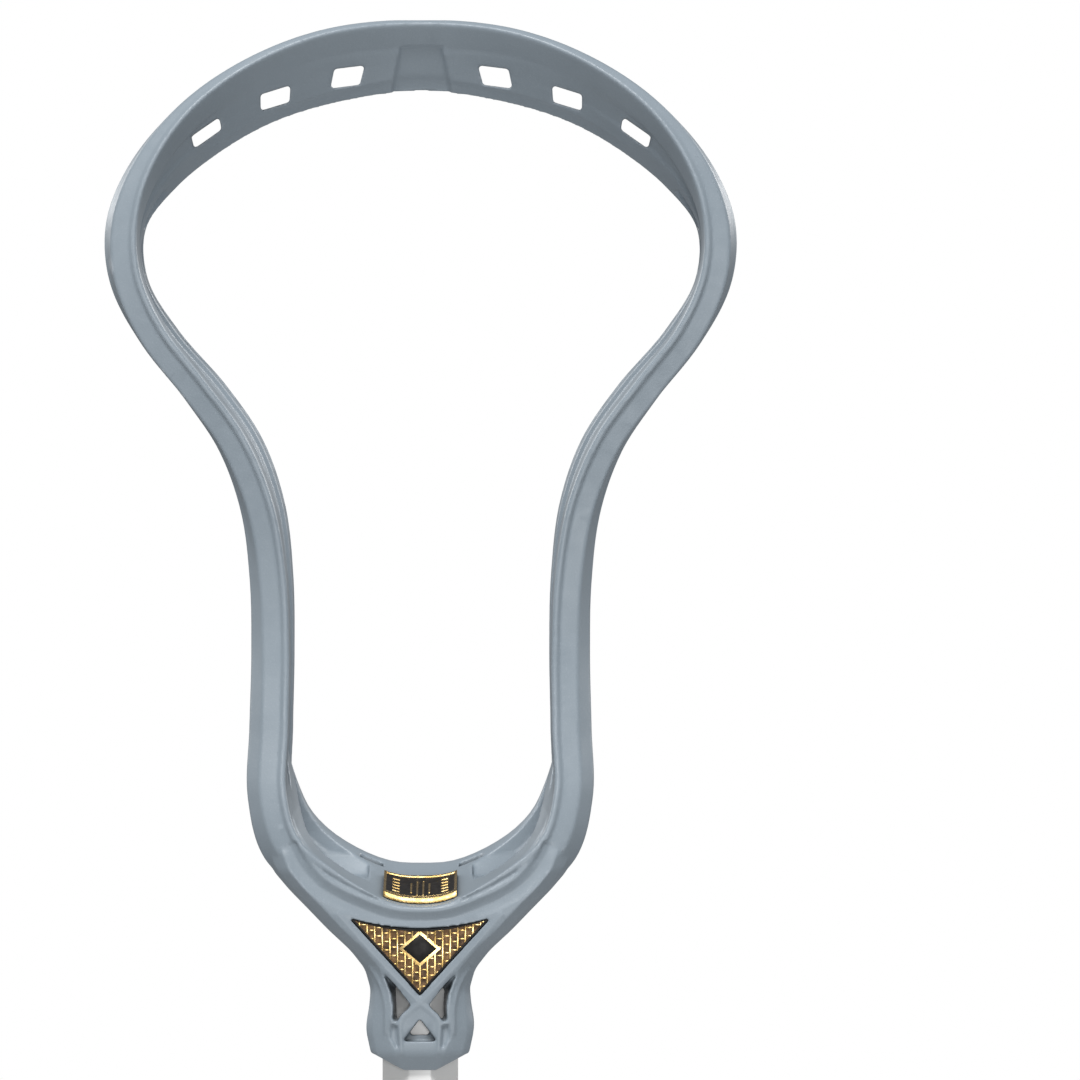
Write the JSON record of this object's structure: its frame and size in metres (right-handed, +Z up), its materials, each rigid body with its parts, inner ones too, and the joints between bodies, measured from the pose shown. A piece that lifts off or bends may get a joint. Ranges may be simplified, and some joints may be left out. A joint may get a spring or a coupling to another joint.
{
  "type": "lacrosse stick",
  "caption": "Unstrung lacrosse stick: a one-piece truss-sided head with scoop, ball stop and socket, screwed to an octagonal tube shaft with a rubber butt cap.",
  "frame": {"origin": "on the shaft's axis at the underside of the butt cap", "axes": "+Z up the stick from the butt to the scoop, -Y out of the open face of the head, X across the head"},
  "size_m": [0.1892, 0.0758, 1.039],
  "materials": {
    "moulded_nylon": "satin",
    "gold_badge": "gloss",
    "black_badge": "gloss",
    "white_alloy": "satin",
    "screw_steel": "satin",
    "cap_rubber": "matte"
  },
  "bodies": {
    "stick": {"shaft": "white_alloy", "head_frame": "moulded_nylon", "throat_badge": "gold_badge", "stop_badge": "black_badge", "side_badge_left": "black_badge", "side_badge_right": "black_badge"},
    "head_screw": {"head_screw": "screw_steel"},
    "end_cap": {"end_cap": "cap_rubber"}
  },
  "joints": [
    {"name": "screw_out", "type": "slide", "parent": "stick", "child": "head_screw", "axis": [0, 1, 0], "range_m": [0, 0.018]},
    {"name": "cap_off", "type": "slide", "parent": "stick", "child": "end_cap", "axis": [0, 0, -1], "range_m": [0, 0.034]}
  ]
}
